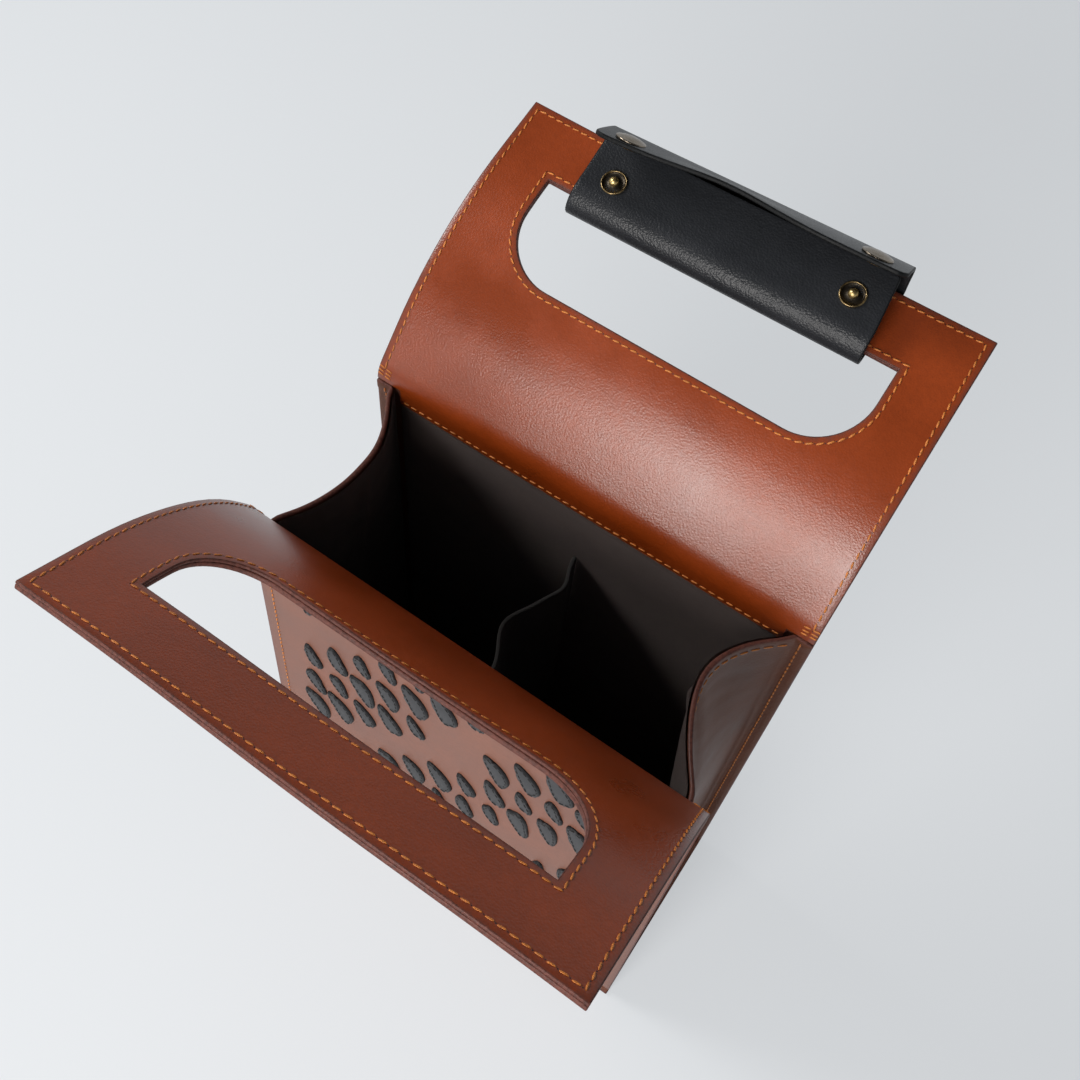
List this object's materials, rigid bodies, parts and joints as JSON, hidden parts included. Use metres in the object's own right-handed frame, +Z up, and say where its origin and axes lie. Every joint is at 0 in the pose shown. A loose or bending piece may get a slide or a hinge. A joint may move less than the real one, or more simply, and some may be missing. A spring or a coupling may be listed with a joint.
{
  "type": "bottle carrier",
  "caption": "Leather carrier for wine bottles with folding handle flaps, inward-folded side gussets, a divider and a press-stud wrap that joins the grips.",
  "frame": {"origin": "centre of the base's underside", "axes": "+Z up; +X along the width, from one gusset to the other; +Y towards the side whose flap carries the grip wrap"},
  "size_m": [0.208, 0.2912, 0.3857],
  "materials": {
    "tan_leather": "satin, burnished edges",
    "facing_leather": "satin",
    "gusset_leather": "satin",
    "grey_leather": "matt",
    "lining_cloth": "napped",
    "divider_suede": "napped",
    "board": "matt",
    "black_leather": "satin",
    "antique_brass": "antiqued"
  },
  "bodies": {
    "carrier": {"front_panel": "tan_leather", "rear_panel": "tan_leather", "front_facing_band": "facing_leather", "rear_facing_band": "facing_leather", "front_lining": "lining_cloth", "rear_lining": "lining_cloth", "left_gusset": "gusset_leather", "right_gusset": "gusset_leather", "left_gusset_lining": "lining_cloth", "right_gusset_lining": "lining_cloth", "divider_left_ply": "divider_suede", "divider_right_ply": "divider_suede", "base_panel": "tan_leather", "base_board": "board", "base_lining": "lining_cloth", "front_applique": "grey_leather"},
    "front_flap": {"front_flap_leather": "tan_leather", "front_flap_facing": "facing_leather"},
    "rear_flap": {"rear_flap_leather": "tan_leather", "rear_flap_facing": "facing_leather", "wrap_sleeve": "black_leather"},
    "front_leaf": {"wrap_front_leaf": "black_leather", "left_snap_stud": "antique_brass", "right_snap_stud": "antique_brass", "left_snap_eyelet": "antique_brass", "right_snap_eyelet": "antique_brass"},
    "closing_leaf": {"wrap_closing_leaf": "black_leather", "left_snap_cap": "antique_brass", "right_snap_cap": "antique_brass", "left_snap_socket": "antique_brass", "right_snap_socket": "antique_brass"}
  },
  "joints": [
    {"name": "rear_flap_fold", "type": "hinge", "parent": "carrier", "child": "rear_flap", "pos_m": [0, 0.0415, 0.29], "axis": [1, 0, 0], "range_deg": [-52, 72]},
    {"name": "front_flap_fold", "type": "hinge", "parent": "carrier", "child": "front_flap", "pos_m": [0, -0.0415, 0.29], "axis": [-1, 0, 0], "range_deg": [-64, 58]},
    {"name": "wrap_front_leaf_fold", "type": "hinge", "parent": "rear_flap", "child": "front_leaf", "pos_m": [0, 0.11668, 0.35002], "axis": [1, 0, 0], "range_deg": [-8, 6.4]},
    {"name": "wrap_closing_leaf_fold", "type": "hinge", "parent": "rear_flap", "child": "closing_leaf", "pos_m": [0, 0.15138, 0.36819], "axis": [1, 0, 0], "range_deg": [-40, 50]}
  ],
  "couplings": [
    {"joint": "wrap_front_leaf_fold", "follows": "wrap_closing_leaf_fold", "ratio": -0.16}
  ]
}
